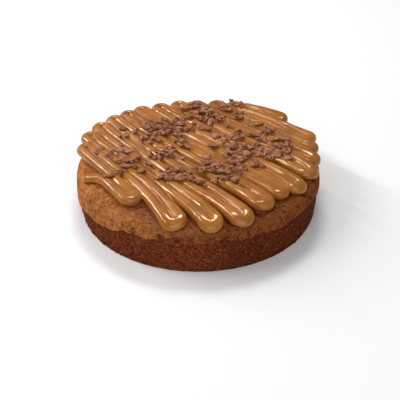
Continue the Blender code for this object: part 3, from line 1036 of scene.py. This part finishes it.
@dataclass
class PipedIcing:
    """The icing rope: one soft round rope whose legs melt together in the turns."""

    sponge: Sponge
    route: RopeRoute = field(default_factory=RopeRoute)
    rope_width: float = 9.52  # mm
    rope_lift: float = 2.9  # mm
    rope_top: float = 0.94
    rope_under: float = 0.86
    gap: float = 0.2  # mm
    front_swell: float = 0.10
    swell_start: float = 30.0  # mm
    swell_length: float = 60.0  # mm
    turn_swell: float = 0.02
    turn_reach: float = 34.0  # mm
    swell_sink: float = 0.6
    droop_start: float = 84.0  # mm
    droop_rate: float = 0.018
    droop_most: float = 3.2  # mm
    droop_behind: float = 10.0  # mm
    droop_span: float = 50.0  # mm
    tail_taper: float = 0.12
    tail_length: float = 20.0  # mm
    roundness: float = 1.75
    tip_fullness: float = 0.75
    tip_full_to: float = 6.0  # mm
    tip_fades_at: float = 22.0  # mm
    melt_in_turn: float = 1.7  # mm
    melt_in_back_turn: float = 0.9  # mm
    melt_in_run: float = 0.5  # mm
    melt_least: float = 0.05  # mm
    melt_near: float = 14.0  # mm from a turn's tip
    melt_far: float = 62.0  # mm
    step: float = 0.64  # mm
    overlap: float = 0.4  # mm
    overlap_rise: tuple[float, float] = (3.0, 14.0)  # mm from a back turn's tip
    overlap_fall: tuple[float, float] = (34.0, 72.0)  # mm
    reach: float = 12.0  # mm
    lowest: float = 34.0  # mm
    highest: float = 49.0  # mm
    half_span: float = 107.0  # mm
    most_triangles: int = 188000
    drags: Lumpiness = Lumpiness(1.0, 2, 31.0)
    drag_width: float = 1.5  # mm
    drag_length: float = 34.0  # mm
    drag_depth: float = 0.09  # mm
    drag_above: tuple[float, float] = (0.6, 2.5)  # mm over the sponge's top
    drag_at_edge: float = 0.5
    drag_edge_width: float = 6.0  # mm
    drag_facing_up: tuple[float, float] = (-0.1, 0.4)
    wanders: Lumpiness = Lumpiness(26.0, 2, 21.0)
    wander: float = 0.22  # mm
    width_wander: float = 0.11  # mm
    between_runs: float = 1.5  # mm that chocolate sinks below the sponge's top where there is no icing
    finish: GlossyIcing = GlossyIcing()

    def grid(self) -> tuple[np.ndarray, np.ndarray]:
        """X and Y of the grid's columns, in mm."""
        line = np.arange(-self.half_span, self.half_span, self.step)
        return np.meshgrid(line, line, indexing="ij")

    def middle_height(self, x: np.ndarray, y: np.ndarray) -> np.ndarray:
        """Height of the rope's middle in mm: level on the top, sinking over the front shoulder."""
        over = np.maximum(0.0, np.hypot(x, y) - self.droop_start)
        in_front = np.clip((self.droop_behind - y) / self.droop_span, 0.0, 1.0)
        droop = np.minimum(self.droop_most, self.droop_rate * over * over) * in_front
        return self.sponge.top_height + self.rope_lift - droop

    def swell(self, x: np.ndarray, y: np.ndarray) -> np.ndarray:
        """How much fatter the rope is in the turns, and most in the front ones."""
        front = self.front_swell * np.clip((-y - self.swell_start) / self.swell_length, 0.0, 1.0)
        turns = (*self.route.front_turns, *self.route.back_turns)
        nearest = np.min([np.hypot(x - turn[0], y - turn[1]) for turn in turns], axis=0)
        return 1.0 + front + self.turn_swell * (1 - smooth_step(nearest, 0.0, self.turn_reach))

    def run_map(self, line: np.ndarray, x: np.ndarray, y: np.ndarray) -> RunMap:
        """Maps the nearest point of one run from every column of the grid.

        Args:
            line: The run's points in mm.
            x: The columns' X in mm.
            y: The columns' Y in mm.

        Returns:
            The map. Columns out of reach keep a large distance.
        """
        best = np.full(x.shape, FAR)
        away_x = np.zeros(x.shape)
        away_y = np.zeros(x.shape)
        for start, end in zip(line[:-1], line[1:]):
            low = np.minimum(start, end) - self.reach
            high = np.maximum(start, end) + self.reach
            i0, j0 = np.maximum(0, ((low + self.half_span) / self.step).astype(int))
            i1, j1 = ((high + self.half_span) / self.step).astype(int) + 1
            part = (slice(i0, i1), slice(j0, j1))
            along = end - start
            dx, dy = x[part] - start[0], y[part] - start[1]
            share = np.clip((dx * along[0] + dy * along[1]) / max(along @ along, 1e-9), 0.0, 1.0)
            dx, dy = dx - share * along[0], dy - share * along[1]
            distance = np.hypot(dx, dy)
            nearer = distance < best[part]
            best[part] = np.where(nearer, distance, best[part])
            away_x[part] = np.where(nearer, dx, away_x[part])
            away_y[part] = np.where(nearer, dy, away_y[part])
        return RunMap(best, away_x, away_y)

    def power_over(self, x: np.ndarray, y: np.ndarray) -> np.ndarray:
        """How square the rope's upper half is: rather peaked in the runs, full at the front tips."""
        nearest = np.min([np.hypot(x - turn[0], y - turn[1]) for turn in self.route.front_turns], axis=0)
        full = 1 - smooth_step(nearest, self.tip_full_to, self.tip_fades_at)
        return self.roundness + self.tip_fullness * full

    def section(self, run: RunMap, middle: np.ndarray, half: np.ndarray, power: np.ndarray,
                z: np.ndarray) -> np.ndarray:
        """How far the grid's points lie outside one run's rope.

        Args:
            run: The run's map.
            middle: Height of the rope's middle over each column, in mm.
            half: Half of the rope's width at each column, in mm.
            power: How square the upper half is at each column, 2 for an ellipse.
            z: The heights of the grid in mm.

        Returns:
            About the distance in mm, negative inside.
        """
        up = z[None, None, :] - middle[:, :, None]
        tall = np.where(up > 0, self.rope_top, self.rope_under) * half[:, :, None]
        power = np.where(up > 0, power[:, :, None], 2.0)
        wide = (run.distance / half)[:, :, None] ** power + np.abs(up / tall) ** power
        return ((wide ** (1 / power) - 1) * half[:, :, None]).astype(np.float32)

    def lift(self, tip: np.ndarray, x: np.ndarray, y: np.ndarray) -> np.ndarray:
        """How far a back turn's first leg lies over the run beside it, and its other leg under, in mm."""
        from_tip = np.hypot(x - tip[0], y - tip[1])
        fallen = smooth_step(from_tip, *self.overlap_fall)
        return self.overlap * smooth_step(from_tip, *self.overlap_rise) * (1 - fallen)

    def melted(self, first: RunMap, second: RunMap, most: float, tip: np.ndarray, x: np.ndarray,
               y: np.ndarray) -> np.ndarray:
        """How far two neighbouring runs melt together, in mm: most between the legs of their own turn.

        Args:
            first: One run's map.
            second: The next run's map.
            most: How far they melt together in the turn, in mm.
            tip: The tip of the turn between them.
            x: The columns' X in mm.
            y: The columns' Y in mm.

        Returns:
            The blend's size for each column.
        """
        dot = first.away_x * second.away_x + first.away_y * second.away_y
        both = np.maximum(first.distance * second.distance, 1e-6)
        between = 0.5 - 0.5 * np.clip(dot / both, -1.0, 1.0)
        from_tip = np.hypot(x - tip[0], y - tip[1])
        near = 1 - smooth_step(from_tip, self.melt_near, self.melt_far)
        return (self.melt_in_run + (most - self.melt_in_run) * near) * between + self.melt_least

    def sampled(self) -> tuple[np.ndarray, np.ndarray]:
        """Samples the whole icing.

        Returns:
            The field, negative inside, and the heights of its layers in mm.
        """
        x, y = self.grid()
        z = np.arange(self.lowest, self.highest, self.step)
        wander = self.wanders.at(np.stack([x.ravel(), y.ravel(), np.zeros(x.size)], 1)).reshape(x.shape)
        swell = self.swell(x, y)
        middle = self.middle_height(x, y) - self.swell_sink * (swell - 1) * self.rope_width / 2
        middle += self.wander * wander
        half = self.rope_width / 2 * swell + self.width_wander * wander
        power = self.power_over(x, y)
        lines = self.route.runs()
        total = np.full((*x.shape, len(z)), FAR, np.float32)
        before = self.run_map(lines[0], x, y)
        from_end = np.hypot(x - lines[0][0][0], y - lines[0][0][1])
        taper = 1 - self.tail_taper * (1 - smooth_step(from_end, 0.0, self.tail_length))
        before_field = self.section(before, middle - (1 - taper) * half, half * taper, power, z)
        for number, line in enumerate(lines[1:]):
            to_back = number % 2 == 0
            lift = self.lift(line[-1], x, y) if to_back else -self.lift(line[0], x, y)
            run = self.run_map(line, x, y)
            run_field = self.section(run, middle + lift, half, power, z)
            most = self.melt_in_turn if to_back else self.melt_in_back_turn
            melt = self.melted(before, run, most, line[0], x, y)[:, :, None].astype(np.float32)
            share = np.maximum(melt - np.abs(before_field - run_field), 0.0) / melt
            total = np.minimum(total, np.minimum(before_field, run_field) - share * share * melt / 4)
            before, before_field = run, run_field
        radius = np.hypot(x, y)[:, :, None]
        clear = self.gap - self.sponge.outside(radius, z[None, None, :] + 0 * radius)
        return np.maximum(total, clear.astype(np.float32)), z

    def rope_places(self, points: np.ndarray) -> np.ndarray:
        """Finds where on the rope each point lies.

        Args:
            points: Places in mm.

        Returns:
            Distance along the rope and sideways from its middle in mm, and 0, one row each.
        """
        line = np.concatenate(self.route.runs())
        steps = np.diff(line, axis=0)
        lengths = np.hypot(steps[:, 0], steps[:, 1])
        walked = np.concatenate([[0.0], np.cumsum(lengths)])
        tree = KDTree(len(line))
        for number, (px, py) in enumerate(line):
            tree.insert((px, py, 0.0), number)
        tree.balance()
        nearest = np.array([tree.find((p[0], p[1], 0.0))[1] for p in points])
        before, after = np.maximum(nearest - 1, 0), np.minimum(nearest + 1, len(line) - 1)
        ahead = line[after] - line[before]
        ahead /= np.maximum(np.hypot(ahead[:, 0], ahead[:, 1]), 1e-9)[:, None]
        off = points[:, :2] - line[nearest]
        along = walked[nearest] + (off * ahead).sum(1)
        sideways = ahead[:, 0] * off[:, 1] - ahead[:, 1] * off[:, 0]
        return np.stack([along, sideways, np.zeros(len(points))], 1)

    def build(self) -> tuple[bpy.types.Object, "HeightMap"]:
        """Makes the icing.

        Returns:
            The icing, in the place of its CAD node, and the heights of its top.
        """
        samples, z = self.sampled()
        origin = (-self.half_span, -self.half_span, self.lowest)
        points, faces = SurfaceNet(samples, origin, self.step).mesh()
        icing = make_object("icing_rope", points * MM, faces.tolist(), {})
        self.thin(icing)
        self.drag_marks(icing.data)
        icing.data.materials.append(self.finish.material())
        return icing, HeightMap.of_field(samples, z, self)

    def thin(self, icing: bpy.types.Object) -> None:
        """Spends fewer faces where the surface is flat, as on the underside."""
        icing.data.calc_loop_triangles()
        thin = icing.modifiers.new("Thin", "DECIMATE")
        thin.ratio = min(1.0, self.most_triangles / len(icing.data.loop_triangles))
        with bpy.context.temp_override(object=icing, active_object=icing):
            bpy.ops.object.modifier_apply(modifier=thin.name)
        icing.data.shade_smooth()

    def drag_marks(self, mesh: bpy.types.Mesh) -> None:
        """Presses shallow marks along the rope, and stores each point's place on the rope."""
        points = read_points(mesh) / MM
        places = self.rope_places(points)
        store(mesh, "rope_place", places)
        marks = self.drags.at(places / np.array([self.drag_length, self.drag_width, 1.0]))
        normals = np.empty(len(points) * 3)
        mesh.vertex_normals.foreach_get("vector", normals)
        normals = normals.reshape(-1, 3)
        top = smooth_step(points[:, 2] - self.sponge.top_height, *self.drag_above)
        past_edge = np.hypot(points[:, 0], points[:, 1]) - self.droop_start
        outer = self.drag_at_edge * smooth_step(past_edge, 0.0, self.drag_edge_width)
        marks *= np.maximum(top, outer) * smooth_step(normals[:, 2], *self.drag_facing_up)
        points = points + normals * (self.drag_depth * marks)[:, None]
        mesh.vertices.foreach_set("co", (points * MM).ravel())
        mesh.update()


@dataclass
class HeightMap:
    """Height of what lies on the cake so far, in mm, on a grid of columns."""

    heights: np.ndarray
    start: float
    step: float

    @classmethod
    def of_field(cls, samples: np.ndarray, z: np.ndarray, icing: PipedIcing) -> "HeightMap":
        """Reads the top of the icing from its field.

        Args:
            samples: The icing's field.
            z: Heights of the field's layers in mm.
            icing: The icing.

        Returns:
            The icing's top, and the sponge's top where there is none.
        """
        inside = samples < 0
        top = samples.shape[2] - 1 - np.argmax(inside[:, :, ::-1], axis=2)
        top = np.minimum(top, samples.shape[2] - 2)
        rows, columns = np.indices(top.shape)
        low, high = samples[rows, columns, top], samples[rows, columns, top + 1]
        share = np.clip(low / np.where(low == high, 1.0, low - high), 0.0, 1.0)
        heights = z[top] + share * icing.step
        bare = ~inside.any(axis=2)
        heights[bare] = icing.sponge.top_height - icing.between_runs
        return cls(heights, -icing.half_span, icing.step)

    def columns(self, points: np.ndarray) -> tuple[np.ndarray, np.ndarray]:
        """The columns that points lie over."""
        at = np.round((points[:, :2] - self.start) / self.step).astype(int)
        at = np.clip(at, 0, len(self.heights) - 1)
        return at[:, 0], at[:, 1]

    def drop(self, points: np.ndarray, sink: float) -> float:
        """How far points have to rise to lie on what is there.

        Args:
            points: The points of a piece at height 0, in mm.
            sink: How far it may press in, in mm.

        Returns:
            The rise in mm.
        """
        return float(np.max(self.heights[self.columns(points)] - points[:, 2])) - sink

    def add(self, points: np.ndarray) -> None:
        """Adds a piece that lies there from now on."""
        at = self.columns(points)
        np.maximum.at(self.heights, at, points[:, 2])


@dataclass
class ChoppedChocolate:
    """Chopped chocolate, strewn in clusters: the large pieces, small ones between them, and crumbs."""

    ground: HeightMap
    large: Sequence[tuple[float, float, float, float, float]] = (
        (-85, 9, 7, 5.5, 80), (-75, 4, 8, 5, 80), (-71, 6, 4.5, 3.5, 70), (-60.5, 9.5, 15, 7, 5),
        (-65, -7, 11, 8, 0), (-58, -7, 8, 3.2, 85), (-55.5, -8.5, 8, 3.2, 80), (-53, -7, 8, 3.2, 75),
        (-49.5, -4, 9, 4, 60), (-57, -17.5, 13, 4, 2), (-46.5, -22, 9, 4, -25), (-63.5, -25.5, 8, 4, 20),
        (-72.5, -30.5, 10, 4, 15), (-64.5, 44, 8, 4.5, 25), (-63, 34.5, 9, 6, 30), (-54.5, 38, 5.5, 4.5, 60),
        (-48, 50, 5.5, 4.5, 80), (-46, 56, 6, 4.5, 30), (-36, 56, 10, 6.5, 10), (-45, 46, 8, 6, 0),
        (-45.5, 33.5, 9, 7, 10), (-38, 45, 6, 5, 0), (-33.5, 46, 6, 5, 60), (-36, 36, 8, 6, 20),
        (-31.5, 39, 6, 4.5, 45), (-34.5, 26, 9, 5, 75), (-42, 23, 5, 4, 0), (-28, 46, 6, 4.5, 80),
        (-24, 44, 9, 4, 50), (-28, 36, 7, 5.5, 30), (-24, 55, 7, 4.5, 20), (-29, 57, 5.5, 4.5, 0),
        (-20.5, 60, 6.5, 4.5, 30), (-15, 61, 7, 4, 80), (-17, 53, 9, 5.5, 5), (-10, 45, 7, 4.5, 15),
        (-17, 43, 7, 5.5, 40), (-17, 35, 8, 6, 10), (-13, 24, 6, 5.5, 0), (-19, 27, 5, 4, 60),
        (-9, 15.5, 9, 4, -15), (-22, 10, 10, 7, 80), (-26, 2, 6, 3.5, 85), (-22.5, 0, 6, 3.5, 80),
        (-28, 11, 7, 4.5, 10), (-40.5, 2, 9, 5.5, 80), (-32.5, 0, 12, 4.5, 85), (-13, -4, 5, 3.5, -20),
        (0, 90, 7, 5, 20), (-5, 85, 10, 6, 5), (-11, 79, 12, 4.5, 5), (5.5, 84, 7, 6, 50),
        (-2, 74, 9, 6, 15), (4, 75, 8, 5, 70), (9, 73, 6, 5, 0), (-7, 66, 7, 5, 40),
        (2, 62, 7, 5.5, 10), (7, 60, 6, 4.5, 60), (11.5, 57, 9, 5, 65), (14.5, 67, 8, 6, 60),
        (12.5, 76, 7, 5, 0), (18, 85, 7, 4, 80), (22, 85, 6, 5, 20), (24, 78, 8, 6, 0),
        (28, 77, 7, 4.5, 75), (32, 90, 5.5, 5, 0), (37, 89.5, 6.5, 5.5, 60),
        (31.5, 63, 8, 3.5, -10), (38, 63, 5, 4.5, 40), (51, 53, 8.5, 7, 20), (57, 42, 8, 3.5, 60),
        (60.5, 39, 9, 4.5, 75), (64.5, 41, 6, 5, 0), (23, 51, 5, 4.5, 0), (26, 50, 5.5, 3.5, 70),
        (4, 45, 11, 5.5, 5), (17, 31, 7.5, 6.5, 30), (21.5, 27, 8, 3.5, 100), (13.5, 15, 13, 4.5, 12),
        (34, 41, 7, 4.5, 60), (33, 29, 10, 7.5, 60), (27.5, 30, 9, 3.5, 55), (39, 33, 6, 4.5, 20),
        (44, 34, 6.5, 4, 0), (48, 33, 8, 5.5, -10), (53.5, 27, 8, 5.5, -60), (29, 15, 9, 7, 70),
        (42.5, 15, 7, 6, 0), (52, 13, 9, 7.5, 75), (64.5, 28, 9, 7.5, 30), (73, 26, 9.5, 7.5, 10),
        (61.5, 19, 6, 4.5, 30), (67.5, 16, 9, 7.5, 0), (75, 17, 6.5, 5, 60), (75.5, 9, 9, 7, 15),
        (66, 4, 12, 9, 70), (75, -3, 8, 7, 30), (57, 5, 8, 6, 80), (60, -4, 9, 6, 10), (24, 5, 13, 5, 65),
        (34, 6, 9, 6, 20), (42, 3, 8, 6, 30), (50, 2, 9, 5, 5), (36, -5, 14, 6, 12), (27, -6, 7, 6, 60),
        (31, -11, 7, 6, 0), (27, -14, 8, 5, 80), (35, -19, 10, 7, 15), (7.5, -1, 9, 6.5, 80),
        (8.5, -12, 8, 6, 30), (15.5, -16, 9, 7.5, 20), (10.5, -24, 9, 4.5, 5), (4, -23, 8, 4.5, -10),
        (-2, -20.5, 6, 4.5, 20), (25, -23, 9, 8, 60), (19, -26, 6, 4.5, 0), (46, -14, 9, 6.5, 10),
        (53, -17, 5, 4, 0), (-46, -24.5, 7, 5, 10), (-28.5, -29, 8, 4.5, 70), (-31.5, -34, 7, 4.5, 20),
        (-24.5, -25, 9, 4, 110), (-21.5, -29, 9, 4, 70), (-23, -36, 7, 4.5, 0), (-16, -24, 8, 6.5, 20),
        (-16.5, -35, 9, 7, 10), (-7, -35, 10, 7, -10), (2, -39, 8, 7, 60), (12.5, -37, 9, 5.5, 80),
        (17.5, -32, 8, 5, 10), (23, -34, 8, 5.5, 10), (29, -35, 7, 5, 15),
    )
    seed: int = 7
    thickness: tuple[float, float] = (2.6, 4.2)  # mm
    most_thickness: float = 0.8
    tilt: float = 24.0  # degrees
    sink: float = 1.0  # mm
    scale: float = 1.15
    fine_from: float = 9.2  # mm
    fineness: tuple[int, int] = (3, 4)
    small_seed: int = 11
    small_for_each: float = 1.6
    small_spread: float = 4.6  # mm
    small_length: tuple[float, float] = (2.6, 5.6)  # mm
    small_width: tuple[float, float] = (0.5, 0.9)
    small_thickness: tuple[float, float] = (0.4, 0.7)
    small_tilt: float = 35.0  # degrees
    small_sink: float = 0.5  # mm
    small_fineness: int = 3
    crumb_for_each: float = 1.6
    crumb_length: tuple[float, float] = (0.7, 1.5)  # mm
    crumb_fineness: int = 1
    cuts: int = 9
    cut_depth: tuple[float, float] = (0.36, 0.8)
    rough: Lumpiness = Lumpiness(0.28, 3)
    rough_starts: float = 50.0
    roughness: float = 0.13
    sharp_from: float = 30.0  # degrees
    lit: tuple[float, float] = (0.15, 0.85)
    least_tone: float = 0.6
    highest: float = 50.6  # mm
    finish: ChoppedMilkChocolate = ChoppedMilkChocolate()
    points: list[np.ndarray] = field(default_factory=list)
    faces: list[np.ndarray] = field(default_factory=list)
    tones_and_shade: list[np.ndarray] = field(default_factory=list)
    count: int = 0

    @staticmethod
    def ball(fineness: int) -> tuple[np.ndarray, np.ndarray]:
        """A round mesh of radius 1 to cut pieces from.

        Args:
            fineness: How often its faces are divided.

        Returns:
            Its points and faces.
        """
        work = bmesh.new()
        bmesh.ops.create_icosphere(work, subdivisions=fineness, radius=1.0)
        points = np.array([tuple(v.co) for v in work.verts])
        faces = np.array([[v.index for v in f.verts] for f in work.faces])
        work.free()
        return points, faces

    def chopped(self, ball: np.ndarray, draw: random.Random) -> np.ndarray:
        """Cuts flat faces off a ball and roughens it.

        Args:
            ball: Points of a ball of radius 1.
            draw: Random numbers.

        Returns:
            The chopped points, about 1 across.
        """
        points = ball.copy()
        for _ in range(self.cuts):
            cut = Vector((draw.gauss(0, 1), draw.gauss(0, 1), draw.gauss(0, 1))).normalized()
            over = points @ np.array(cut) - draw.uniform(*self.cut_depth)
            points -= np.maximum(over, 0.0)[:, None] * np.array(cut)
        points /= np.ptp(points, axis=0).max()
        rough = self.rough.at(points + draw.uniform(0, self.rough_starts))
        away = ball / np.linalg.norm(ball, axis=1)[:, None]
        return points + away * (self.roughness * rough)[:, None]

    def add(self, shape: np.ndarray, faces: np.ndarray, size: Sequence[float], turn: Matrix, x: float,
            y: float, sink: float, tone: float) -> None:
        """Lays one piece on the cake.

        Args:
            shape: Its points, about 1 across.
            faces: Its faces.
            size: Its length, width and thickness in mm.
            turn: How it lies.
            x: Where it lies, in mm.
            y: Where it lies, in mm.
            sink: How far it presses into what is below, in mm.
            tone: 0 for dark to 1 for pale.
        """
        extent = np.ptp(shape, axis=0)
        points = (shape / extent * np.array(size)) @ np.array(turn).T + np.array([x, y, 0.0])
        rise = self.ground.drop(points, sink)
        rise = min(rise, self.highest - points[:, 2].max())
        points[:, 2] += rise
        self.ground.add(points)
        self.faces.append(faces + self.count)
        self.points.append(points)
        # Painted shade: each piece darkens from its top down to its underside.
        height = (points[:, 2] - points[:, 2].min()) / np.ptp(points[:, 2])
        tone = self.least_tone + (1 - self.least_tone) * tone
        self.tones_and_shade.append(smooth_step(height, *self.lit) * tone)
        self.count += len(points)

    def strew_large(self) -> None:
        """Lays the large pieces in their places."""
        draw, look = random.Random(self.seed), random.Random(self.small_seed)
        plain, fine = (self.ball(fineness) for fineness in self.fineness)
        for x, y, length, width, yaw in self.large:
            thickness = min(draw.uniform(*self.thickness), self.most_thickness * width)
            tilt = Matrix.Rotation(math.radians(draw.uniform(-self.tilt, self.tilt)), 3, "X")
            turn = Matrix.Rotation(math.radians(yaw), 3, "Z") @ tilt
            size = (length * self.scale, width * self.scale, thickness)
            ball, faces = fine if size[0] >= self.fine_from else plain
            shape = self.chopped(ball, look)
            self.add(shape, faces, size, turn, x, y, self.sink, look.random())

    def strew_small(self, share: float, length: tuple[float, float], fineness: int, seed: int) -> None:
        """Lays smaller pieces over and around the large ones.

        Args:
            share: How many for each large piece.
            length: Their least and greatest length in mm.
            fineness: How finely each is meshed.
            seed: Start of the random numbers.
        """
        draw = random.Random(seed)
        ball, faces = self.ball(fineness)
        for _ in range(round(len(self.large) * share)):
            x, y = draw.choice(self.large)[:2]
            x += draw.gauss(0.0, self.small_spread)
            y += draw.gauss(0.0, self.small_spread)
            long = draw.uniform(*length)
            size = (long, long * draw.uniform(*self.small_width), long * draw.uniform(*self.small_thickness))
            tilt = Matrix.Rotation(math.radians(draw.uniform(-self.small_tilt, self.small_tilt)), 3, "X")
            turn = Matrix.Rotation(draw.uniform(0.0, math.tau), 3, "Z") @ tilt
            shape = self.chopped(ball, draw)
            self.add(shape, faces, size, turn, x, y, self.small_sink, draw.random())

    def build(self) -> bpy.types.Object:
        """Makes all the pieces as one mesh.

        Returns:
            The chopped chocolate.
        """
        self.strew_large()
        self.strew_small(self.small_for_each, self.small_length, self.small_fineness, self.small_seed + 1)
        self.strew_small(self.crumb_for_each, self.crumb_length, self.crumb_fineness, self.small_seed + 2)
        points = np.concatenate(self.points) * MM
        tones_and_shade = {"tone": np.concatenate(self.tones_and_shade)}
        pieces = make_object("chopped_chocolate", points, np.concatenate(self.faces).tolist(), tones_and_shade)
        pieces.data.set_sharp_from_angle(angle=math.radians(self.sharp_from))
        pieces.data.materials.append(self.finish.material())
        return pieces


# Studio

@dataclass
class Lamp:
    """A soft box that points at the cake."""

    name: str
    toward: tuple[float, float, float]
    along: tuple[float, float, float]
    distance: float
    size: tuple[float, float]
    power: float

    def build(self) -> None:
        """Makes the lamp."""
        light = bpy.data.lights.new(self.name, "AREA")
        light.shape = "RECTANGLE"
        light.size, light.size_y = self.size
        light.energy = self.power
        lamp = bpy.data.objects.new(self.name, light)
        back = Vector(self.toward).normalized()
        across = back.cross(Vector(self.along)).normalized()
        lamp.matrix_world = Matrix.Translation(back * self.distance) @ Matrix(
            (across.cross(back), across, back)).transposed().to_4x4()
        bpy.context.scene.collection.objects.link(lamp)


@dataclass
class Studio:
    """The camera, the soft lights, the pale floor and the pale surroundings."""

    camera_at: tuple[float, float, float] = (0.0, -0.8327, 0.5537)
    lens: float = 105.3
    sensor: float = 36.0
    shift: tuple[float, float] = (0.0045, 0.0078)
    surround: float = 0.26
    floor_colour: Colour = (0.94, 0.94, 0.94)
    floor_roughness: float = 0.9
    floor_half: float = 6.0
    lamps: Sequence[Lamp] = (
        Lamp("key", (-0.72, 0.18, 0.65), (0.64, -0.77, 0.0), 1.3, (1.4, 0.04), 9.8),
        Lamp("ridge", (-0.36, 0.66, 0.66), (0.64, -0.77, 0.0), 1.3, (1.2, 0.015), 1.7),
        Lamp("back", (0.0, 0.48, 0.877), (1.0, 0.0, 0.0), 1.3, (0.36, 0.3), 5.8),
        Lamp("front", (0.12, -0.85, 0.5), (1.0, 0.0, 0.0), 1.6, (1.8, 1.2), 11.5),
    )

    def build_camera(self) -> None:
        """Makes the camera at the photograph's angle."""
        camera = bpy.data.cameras.new("camera")
        camera.lens = self.lens
        camera.sensor_width = self.sensor
        camera.shift_x, camera.shift_y = self.shift
        holder = bpy.data.objects.new("camera", camera)
        place = Vector(self.camera_at)
        holder.location = place
        holder.rotation_euler = (-place).to_track_quat("-Z", "Y").to_euler()
        bpy.context.scene.collection.objects.link(holder)
        bpy.context.scene.camera = holder

    def build_floor(self) -> None:
        """Makes the floor."""
        h = self.floor_half
        points = np.array([[-h, -h, 0.0], [h, -h, 0.0], [h, h, 0.0], [-h, h, 0.0]])
        floor = make_object("floor", points, [[0, 1, 2, 3]], {})
        graph = Graph("pale_floor")
        looks = {"Base Color": self.floor_colour, "Roughness": self.floor_roughness}
        floor.data.materials.append(graph.finish(looks))

    def build_surround(self) -> None:
        """Makes the pale surroundings."""
        world = bpy.data.worlds.new("surround")
        world.use_nodes = True
        sky = world.node_tree.nodes["Background"]
        sky.inputs["Color"].default_value = (1.0, 1.0, 1.0, 1.0)
        sky.inputs["Strength"].default_value = self.surround
        bpy.context.scene.world = world

    def build(self) -> None:
        """Makes the whole studio."""
        bpy.context.scene.view_settings.view_transform = "Standard"
        self.build_camera()
        self.build_floor()
        self.build_surround()
        for lamp in self.lamps:
            lamp.build()


def dress(piece: bpy.types.Object, node: Optional[str] = None) -> None:
    """Ties a piece to the frame and reports it.

    Args:
        piece: The piece.
        node: The CAD node that it stands for, if any.
    """
    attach(piece, BODY)
    if node:
        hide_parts(node)
    piece.data.calc_loop_triangles()
    log.info("%s: %d triangles", piece.name, len(piece.data.loop_triangles))


def main() -> None:
    """Builds the studio and the cake."""
    logging.basicConfig(level=logging.INFO, format="%(name)s: %(message)s")
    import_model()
    Studio().build()
    sponge = Sponge()
    dress(sponge.build(), "sponge")
    icing = PipedIcing(sponge)
    rope, ground = icing.build()
    dress(rope, "piped_icing")
    dress(ChoppedChocolate(ground).build())


if __name__ == "__main__":
    main()
